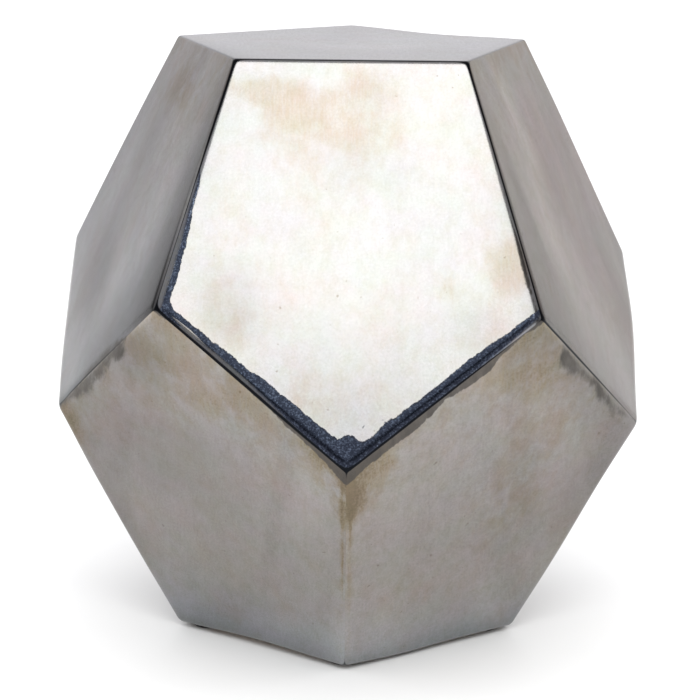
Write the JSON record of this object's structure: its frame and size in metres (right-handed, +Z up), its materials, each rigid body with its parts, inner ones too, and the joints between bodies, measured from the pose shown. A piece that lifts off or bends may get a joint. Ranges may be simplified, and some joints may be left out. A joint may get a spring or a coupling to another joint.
{
  "type": "ceramic garden stool",
  "caption": "Faceted hollow ceramic garden stool with a metallic pewter glaze, a flat seat and rubber foot pads under its base.",
  "frame": {"origin": "on the floor, under the middle of the stool", "axes": "+Z up, through the middle of the seat; one upper facet faces -Y, and a corner of the base points to -Y"},
  "size_m": [0.4158, 0.4368, 0.43],
  "materials": {
    "pewter_glaze": "satin",
    "foot_rubber": "matte"
  },
  "bodies": {
    "root": {"stool_body": "pewter_glaze", "foot_pad_1": "foot_rubber", "foot_pad_2": "foot_rubber", "foot_pad_3": "foot_rubber", "foot_pad_4": "foot_rubber", "foot_pad_5": "foot_rubber"}
  },
  "joints": []
}
